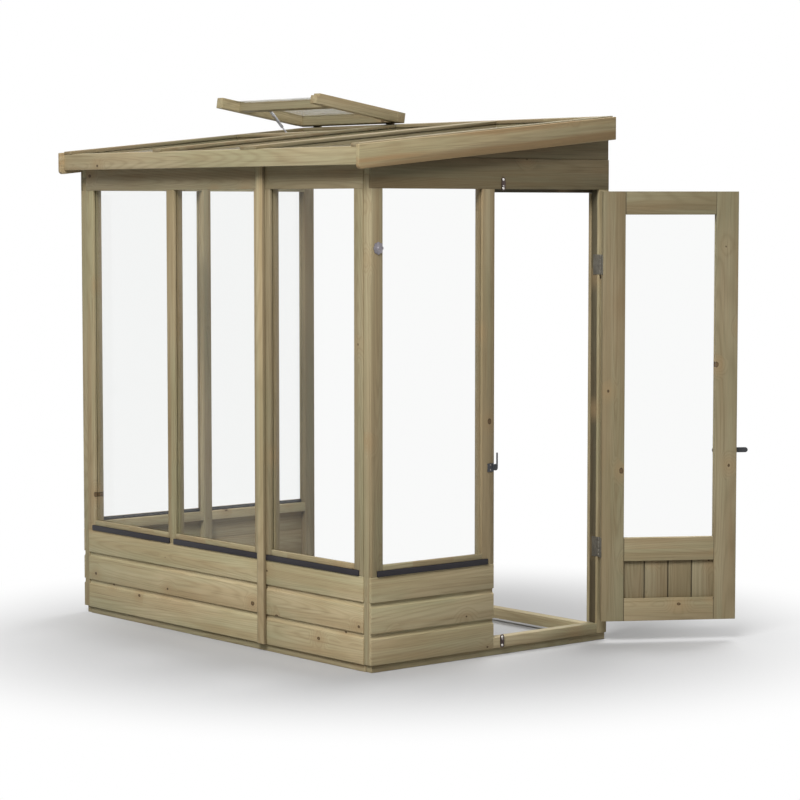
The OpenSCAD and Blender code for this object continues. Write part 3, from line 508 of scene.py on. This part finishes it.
# Roof frame: planed bars down the slope and rails across it, screwed together, with capping strips
# over them that hold the glass.
pitch = math.radians(5.61)
ridge = (0, 0, 1.96)
level_roof = ((-pitch, 0, 0), ridge)
side_bar_out = 0.019
roof_w = half_w + side_bar_out
roof_bar_xs = (-roof_w + half_upright, mullion_x, seam_x - half_upright, seam_x + half_upright,
               roof_w - half_upright)


def between_bars(parts):
    """1 between the bars, where the timbers run across the slope."""
    found = 1
    for bar in roof_bar_xs:
        found = found * (abs(parts["X"] - bar) > front_strip_half)
    return found


roof_bars = wood("roof bars", "YXZ", upright_cells, upright_start, turn=level_roof, tone=0.7)
roof_rail_cells = ((bay, 0.3, wide), (-in_w, -1.3, outside))
roof_rails = wood("roof rails", "XYZ", *roof_rail_cells, turn=level_roof, tone=0.7)
roof_strips = wood("roof strips", "YXZ", upright_cells, upright_start, turn=level_roof,
                   cross=(between_bars, "XYZ"), tone=0.66, warm=0.2)
eased(roof_bars, "roof_wood", rail_edge, "greenhouse", "roof_bars")
eased(roof_rails, "roof_wood", rail_edge, "greenhouse", "roof_rails", "stay_rail")
eased(roof_strips, "roof_wood", strip_edge, "greenhouse", "roof_strips")

# Barge boards and eaves board: planed boards nailed round the roof's edges. The barge boards are
# browner than the rest, and their lower front corners are rounded.
verge_edge = 0.002
barge_wood = wood("barge boards", "YZX", *gable_plate_cells, turn=level_roof, tone=1.02, warm=0.5)
eaves_wood = wood("eaves board", "XZY", tone=0.9)
eased(barge_wood, "roof_wood", verge_edge, "greenhouse", "barge_boards")
eased(eaves_wood, "roof_wood", verge_edge, "greenhouse", "eaves_board")

# Door: stiles and rails, mortised together round a pane with beads and a panel of upright boards.
# It stands wide open, and its figure is laid out as if it were shut.
door_open = math.radians(148)
door_pin = (0.924, -0.05075, 0)
shut_door = ((0, 0, -door_open), door_pin)
rail_start = -0.4825
rail_l = 0.346
panel_lap = 0.008
panel_start = rail_start - panel_lap
panel_step = 0.0905
panel_edge = 0.0008
door_glass_z = 0.392
door_glass_z1 = 1.598
stile_cells = ((wide, 0.5, wide), (outside, -0.81, outside))
door_rail_cells = ((wide, wide, 0.5), (outside, outside, -0.15))
panel_cells = ((wide, panel_step, wide), (outside, panel_start, outside))


def stile_tone(parts):
    """The stiles are darker towards the head of the door."""
    return parts["Z"].fade(0.5, 1.9, 0.70, 0.56)


def rail_tone(parts):
    """The top rail is darker than the other two."""
    return parts["Z"].fade(0.5, 1.6, 0.76, 0.60)


def stile_joints(parts):
    """1 on the lines where the rails meet the stiles."""
    return joints(parts["Y"], rail_start, rail_l, 0.003)


def panel_joints(parts):
    """1 on the joints of the panel's boards."""
    return joints(parts["Y"], panel_start, panel_step, 0.004)


def level_beads(parts):
    """1 on the beads above and below the pane."""
    return 1 - between(parts["Z"], door_glass_z, door_glass_z1)


stile_wood = wood("door stiles", "ZYX", *stile_cells, turn=shut_door, tone=stile_tone, warm=0.1)
rail_wood = wood("door rails", "YZX", *door_rail_cells, turn=shut_door, tone=rail_tone, warm=0.06,
                 dark=stile_joints)
panel_wood = wood("door panel", "ZYX", *panel_cells, turn=shut_door, tone=0.6, warm=0.06,
                  dark=panel_joints)
bead_wood = wood("door beads", "ZYX", *stile_cells, turn=shut_door, cross=(level_beads, "YZX"), tone=0.95)
eased(stile_wood, "door_wood", strip_edge, "door", "door_stiles")
eased(rail_wood, "door_wood", planed_edge, "door", "door_rails")
eased(panel_wood, "door_wood", panel_edge, "door", "door_panel")
eased(bead_wood, "door_wood", planed_edge, "door", "door_beads")


# Hinges: pressed zinc-plated steel, the leaves screwed between the door's edge and the post. The
# vent's leaves and the brackets of its stay are pressed from the same steel.
def plated(name, colour, rough):
    """Zinc or drawn metal, with faint spangle and dull handling marks."""
    material, surface, place = new_material(name)
    spangle = place.add("TexVoronoi", {}, {"Vector": place, "Scale": 420.0}, "Color").parts()["X"]
    dull = place.noise((60.0, 60.0, 25.0), 3.0).fade(0.4, 0.7)
    fine = place.noise((700.0, 700.0, 700.0), 1.0)
    dark = tuple(c * 0.6 for c in colour[:3]) + (1,)
    feed(surface, "Base Color", (dull * 0.5 + spangle * 0.25).blend(colour, dark))
    feed(surface, "Roughness", dull * 0.22 + spangle * 0.08 + rough)
    feed(surface, "Normal", fine.add("Bump", {}, {"Height": fine, "Distance": 0.00008, "Strength": 0.3}))
    surface.inputs["Metallic"].default_value = 1.0
    return material


pressed_edge = 0.0003
dull_zinc = plated("dull zinc", (0.2, 0.185, 0.155, 1), rough=0.42)
bright_zinc = plated("bright zinc", (0.30, 0.27, 0.26, 1), rough=0.3)
eased(dull_zinc, "zinc", pressed_edge, "door", "door_hinge_leaves")
eased(dull_zinc, "zinc", pressed_edge, "greenhouse",
      "post_hinge_leaves", "vent_hinge_leaves", "stay_bracket")
eased(dull_zinc, "zinc", pressed_edge, "vent", "vent_leaves", "vent_bracket")

# Latch: a forged bar that pivots on a plate on the door and drops into a pressed keep on the post.
# All three are coated black.
iron_black = (0.04, 0.042, 0.046, 1)
black_coat = coated("black coated iron", iron_black, rough=0.38, fleck=0.01, grime=0.22)
eased(black_coat, "black_iron", coat_edge, "greenhouse", "latch_keep")
eased(black_coat, "black_iron", coat_edge, "door", "latch_plate")
eased(black_coat, "black_iron", coat_edge, "latch_bar", "latch_bar")


# Screws: bright plated steel, with domed heads and a cross sunk in each. Four hold the latch plate
# to the door, and two hold its keep to the post.
def mark(piece, test):
    """Selects the vertices of a piece that pass a test of their place."""
    pick(piece)
    bpy.ops.object.mode_set(mode="EDIT")
    bpy.ops.mesh.select_mode(type="VERT")
    bpy.ops.mesh.select_all(action="DESELECT")
    bpy.ops.object.mode_set(mode="OBJECT")
    for vertex in piece.data.vertices:
        vertex.select = test(vertex.co)
    bpy.ops.object.mode_set(mode="EDIT")


def settle(piece, place, turn):
    """Puts a piece modelled at the origin in its place, and keeps the place in its mesh."""
    pick(piece)
    piece.location = place
    piece.rotation_euler = (0, 0, turn)
    bpy.ops.object.transform_apply(location=True, rotation=True, scale=True)


def screw_head(radius, height):
    """A dome on the plane x = 0 with a cross sunk in it."""
    bpy.ops.object.select_all(action="DESELECT")
    bpy.ops.mesh.primitive_uv_sphere_add(
        segments=24, ring_count=16, radius=radius, rotation=(0, math.pi / 2, 0))
    head = bpy.context.object
    bpy.ops.object.transform_apply(rotation=True)
    bpy.ops.object.mode_set(mode="EDIT")
    bpy.ops.mesh.select_all(action="SELECT")
    bpy.ops.transform.resize(value=(height / radius, 1, 1))
    bpy.ops.mesh.bisect(plane_co=(0, 0, 0), plane_no=(1, 0, 0), use_fill=True, clear_inner=True)
    bpy.ops.object.mode_set(mode="OBJECT")
    for across, up in ((0.28, 1.1), (1.1, 0.28)):
        bpy.ops.mesh.primitive_cube_add(size=1, location=(height, 0, 0))
        cutter = bpy.context.object
        cutter.scale = (height, radius * across, radius * up)
        pick(head)
        bpy.ops.object.modifier_add(type="BOOLEAN")
        head.modifiers[0].object = cutter
        head.modifiers[0].solver = "EXACT"
        bpy.ops.object.modifier_apply(modifier=head.modifiers[0].name)
        bpy.data.objects.remove(cutter)
    pick(head)
    bpy.ops.object.shade_smooth_by_angle(angle=math.radians(35))
    return head


def screws(name, places, turn, radius, height, body, node):
    """One screw head at each place, made as one piece that stands for its CAD node."""
    heads = []
    for place in places:
        head = screw_head(radius, height)
        settle(head, place, turn)
        heads.append(head)
    bpy.ops.object.select_all(action="DESELECT")
    for head in heads:
        head.select_set(True)
    bpy.context.view_layer.objects.active = heads[0]
    bpy.ops.object.join()
    heads[0].name = name
    heads[0].data.materials.append(bright_zinc)
    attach(heads[0], body)
    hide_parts(node)


def on_door(out, along, z):
    """A point of the door in the room: out from the shut gable, and along it from its front edge."""
    x = half_w + out - door_pin[0]
    y = -house_d + along - door_pin[1]
    cos, sin = math.cos(door_open), math.sin(door_open)
    return (door_pin[0] + x * cos - y * sin, door_pin[1] + x * sin + y * cos, z)


plate_t = 0.0025
small_head_r = 0.0035
small_head_h = 0.0012
keep_screw_y = -house_d + 0.5545
keep_screw_zs = (0.6805, 0.697)
latch_alongs = (0.6075, 0.6375)
latch_zs = (0.7002, 0.7663)
keep_points = [(half_w + plate_t, keep_screw_y, z) for z in keep_screw_zs]
latch_points = [on_door(plate_t, along, z) for along in latch_alongs for z in latch_zs]
screws("keep_screw_heads", keep_points, 0, small_head_r, small_head_h,
       "greenhouse", "keep_screws")
screws("latch_screw_heads", latch_points, door_open, small_head_r, small_head_h,
       "door", "latch_screws")

# Turn buttons: pressed oval plates with a knob at each end, over and under the door. Each turns on
# one domed screw. The plates have tarnished, and the knobs are rubbed bright.
button_t = 0.004
button_short = 0.016
button_long = 0.032
button_w = 0.017
button_y = -house_d + 0.612
button_zs = {"top": 1.70105, "bottom": 0.059}
button_gap = 0.0005
button_rim = 0.0022
button_dish = 0.0012
button_edge = 0.0006
button_head_r = 0.0048
button_head_h = 0.0026
button_head_sunk = 0.0004
knob_r = 0.0052
knob_flat = 0.62
button_brown = plated("tarnished button plate", (0.10, 0.075, 0.07, 1), rough=0.45)
knob_zinc = plated("worn bright knob", (0.75, 0.72, 0.68, 1), rough=0.3)


def turn_button(name, turn):
    """A plate modelled at the origin, its long end up, then turned and set on the gable."""
    bpy.ops.object.select_all(action="DESELECT")
    bpy.ops.mesh.primitive_cylinder_add(
        vertices=40, radius=button_w / 2, depth=button_t, rotation=(0, math.pi / 2, 0))
    plate = bpy.context.object
    bpy.ops.object.transform_apply(rotation=True)
    for end in (1, -1):
        reach = (button_long if end > 0 else button_short) - button_w / 2
        mark(plate, lambda v: v.z * end > 0.0001)
        bpy.ops.transform.translate(value=(0, 0, end * reach))
        bpy.ops.object.mode_set(mode="OBJECT")
    mark(plate, lambda v: v.x > 0)
    bpy.ops.mesh.select_mode(type="FACE")
    bpy.ops.mesh.inset(thickness=button_rim, depth=0)
    bpy.ops.transform.translate(value=(-button_dish, 0, 0))
    bpy.ops.object.mode_set(mode="OBJECT")
    knobs = []
    for z in (button_long - button_w / 2, button_w / 2 - button_short):
        bpy.ops.mesh.primitive_uv_sphere_add(segments=24, ring_count=14, radius=knob_r, location=(0, 0, z))
        knob = bpy.context.object
        bpy.ops.object.mode_set(mode="EDIT")
        bpy.ops.transform.resize(value=(knob_flat, 1, 1))
        bpy.ops.object.mode_set(mode="OBJECT")
        bpy.ops.object.transform_apply(location=True, scale=True)
        knob.data.materials.append(knob_zinc)
        knobs.append(knob)
    pick(plate)
    plate.data.materials.append(button_brown)
    bpy.ops.object.modifier_add(type="BEVEL")
    round_over = plate.modifiers[0]
    round_over.width = button_edge
    round_over.segments = 3
    round_over.angle_limit = math.radians(40)
    bpy.ops.object.modifier_apply(modifier=round_over.name)
    for knob in knobs:
        knob.select_set(True)
    bpy.ops.object.join()
    bpy.ops.object.shade_smooth_by_angle(angle=math.radians(40))
    plate.rotation_euler = (turn, 0, 0)
    bpy.ops.object.transform_apply(rotation=True)
    settle(plate, (half_w + button_gap + button_t / 2, button_y, button_zs[name]), 0)
    plate.name = "turn_button_" + name + "_plate"
    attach(plate, "turn_button_" + name)
    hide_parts("turn_button_" + name)


turn_button("top", 0)
turn_button("bottom", math.pi)
screw_x = half_w + button_t + 2 * button_gap - button_head_sunk
button_points = [(screw_x, button_y, z) for z in button_zs.values()]
screws("button_screw_heads", button_points, 0, button_head_r, button_head_h,
       "greenhouse", "button_screws")

# Rose: a pressed zinc rosette nailed on the corner post, its rim lobed and its middle domed. It is
# weathered, and its rings, from the rim inwards, rise, dip and rise again.
rose_gap = 0.0001
rose_y = -house_d + 0.032
rose_z = 1.484
rose_r = 0.022
rose_t = 0.0024
rose_rings = ((0.003, 0.0012), (0.0045, -0.0014), (0.0035, 0.002))
rose_lobes = 8
lobe_r = 0.018
lobe_waist = 0.9
boss_r = 0.0065
boss_flat = 0.85


def between_lobes(point):
    """True for the rim's points that are drawn in between two lobes."""
    on_rim = math.hypot(point.y, point.z) > lobe_r
    return on_rim and math.cos(rose_lobes * math.atan2(point.y, point.z)) < -0.2


bpy.ops.object.select_all(action="DESELECT")
bpy.ops.mesh.primitive_cylinder_add(
    vertices=96, radius=rose_r, depth=rose_t, rotation=(0, math.pi / 2, 0))
rose = bpy.context.object
bpy.ops.object.transform_apply(rotation=True)
mark(rose, lambda v: v.x > 0)
bpy.ops.mesh.select_mode(type="FACE")
for step, rise in rose_rings:
    bpy.ops.mesh.inset(thickness=step, depth=0)
    bpy.ops.transform.translate(value=(rise, 0, 0))
bpy.ops.object.mode_set(mode="OBJECT")
mark(rose, between_lobes)
bpy.ops.transform.resize(value=(1, lobe_waist, lobe_waist))
bpy.ops.object.mode_set(mode="OBJECT")
bpy.ops.object.select_all(action="DESELECT")
bpy.ops.mesh.primitive_uv_sphere_add(segments=32, ring_count=16, radius=boss_r)
boss = bpy.context.object
bpy.ops.object.mode_set(mode="EDIT")
bpy.ops.transform.resize(value=(boss_flat, 1, 1))
bpy.ops.object.mode_set(mode="OBJECT")
pick(rose)
boss.select_set(True)
bpy.ops.object.join()
bpy.ops.object.shade_smooth_by_angle(angle=math.radians(50))
settle(rose, (half_w + rose_gap + rose_t / 2, rose_y, rose_z), 0)
rose.name = "rosette"
rose.data.materials.append(plated("weathered zinc", (0.30, 0.28, 0.30, 1), rough=0.34))
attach(rose, "greenhouse")
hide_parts("corner_rose")

# Vent: a light planed sash over the left bay, with its glass run out over the front rail. It hangs
# on two leaves at the head of the roof and stands propped open. Its side rails have a thin lip
# over the glass, so their edges are only just eased.
lip_edge = 0.0006
vent_open = math.radians(14.5)
vent_pin = (0, -0.00876, 1.96738)
level_vent = ((vent_open - pitch, 0, 0), vent_pin)
vent_side_cells = ((0.3, wide, wide), (-1.0, outside, outside))
vent_rail_cells = ((wide, 0.2, wide), (outside, -0.45, outside))
vent_sides = wood("vent sides", "YZX", *vent_side_cells, turn=level_vent, warm=0.15)
vent_rails = wood("vent rails", "XZY", *vent_rail_cells, turn=level_vent, tone=0.7)
eased(vent_sides, "roof_wood", lip_edge, "vent", "vent_side_rails")
eased(vent_rails, "roof_wood", planed_edge, "vent", "vent_cross_rails")

# Stay: an aluminium tube with a rod that slides in it. The tube is pinned to a bracket on the vent,
# and the rod to one under the roof.
stay_edge = 0.0004
drawn_metal = plated("drawn aluminium", (0.60, 0.61, 0.66, 1), rough=0.22)
eased(drawn_metal, "stay_metal", stay_edge, "stay_tube", "stay_tube")
eased(drawn_metal, "stay_metal", stay_edge, "stay_rod", "stay_rod")


# Studio: a pale floor that keeps the soft shadow and fades to white, under a pale sky that is
# brightest overhead. The floor is grey near a middle point beside the greenhouse and glows white
# further out, so its darkness round the object is partly real shadow and partly painted shade.
# Only what is seen or mirrored is white, and the light on the object is plain.
def looked_at(wire):
    """1 for rays that show the backdrop: from the camera, in a mirror or through glass."""
    camera = wire.add("LightPath", out="Is Camera Ray")
    seen = camera.maths("MAXIMUM", camera, camera.output("Is Glossy Ray"))
    return seen.maths("MAXIMUM", seen, camera.output("Is Transmission Ray"))


floor_w = 60
floor_drop = 0.0005
floor_seen_grey = (0.50, 0.50, 0.504, 1)
floor_lit_grey = (0.45, 0.45, 0.45, 1)
shadow_middle = (0.29, -0.55, 0)
shadow_end = 0.8
white_start = 2.12
sky_low = 0.34
sky_high = 0.70
bpy.ops.object.select_all(action="DESELECT")
bpy.ops.mesh.primitive_plane_add(size=floor_w, location=(0, 0, -floor_drop))
floor = bpy.context.object
floor.name = "studio_floor"
floor_material, floor_surface, floor_place = new_material("studio floor")
floor_tree = floor_material.node_tree
floor_seen = looked_at(floor_place)
feed(floor_surface, "Base Color", floor_seen.blend(floor_lit_grey, floor_seen_grey))
floor_surface.inputs["Roughness"].default_value = 0.9
floor_surface.inputs["Specular IOR Level"].default_value = 0.1
# Painted shade: grey near this middle point, fading to a white glow further out.
from_middle = floor_place.vector("SUBTRACT", floor_place, shadow_middle)
far = from_middle.length((1, 1, 0)).fade(shadow_end, white_start)
glow = far.add("Emission", {}, {"Color": (1, 1, 1, 1), "Strength": 1.0})
floor_mix = far.add("MixShader", {}, {0: far * floor_seen, 2: glow})
floor_tree.links.new(floor_surface.outputs[0], floor_mix.socket.node.inputs[1])
floor_tree.links.new(floor_mix.socket, floor_tree.nodes["Material Output"].inputs["Surface"])
floor.data.materials.append(floor_material)

sky = bpy.data.worlds.new("studio sky")
sky.use_nodes = True
scene.world = sky
sky_tree = sky.node_tree
sky_light = sky_tree.nodes["Background"]
height = Wire(sky_tree).add("TexCoord", out="Generated").parts()["Z"]
feed(sky_light, "Strength", height.fade(0.0, 0.9, sky_low, sky_high))
white = height.add("Background", {}, {"Color": (1, 1, 1, 1), "Strength": 1.0})
sky_mix = height.add("MixShader", {}, {0: looked_at(height), 2: white})
sky_tree.links.new(sky_light.outputs[0], sky_mix.socket.node.inputs[1])
sky_tree.links.new(sky_mix.socket, sky_tree.nodes["World Output"].inputs["Surface"])


def soft_box(name, place, aim, size, power):
    """A square lamp at a place, turned to its aim."""
    lamp = bpy.data.lights.new(name, "AREA")
    lamp.size = size
    lamp.energy = power
    holder = bpy.data.objects.new(name, lamp)
    holder.location = place
    holder.rotation_euler = (Vector(aim) - Vector(place)).to_track_quat("-Z", "Y").to_euler()
    scene.collection.objects.link(holder)


soft_box("key", place=(5.7, -9.2, 10.3), aim=(0, -0.6, 0.9), size=6.0, power=2080)
soft_box("back", place=(-1.5, 5.0, 8.5), aim=(0, -0.6, 0.4), size=5.0, power=700)
scene.view_settings.view_transform = "Standard"
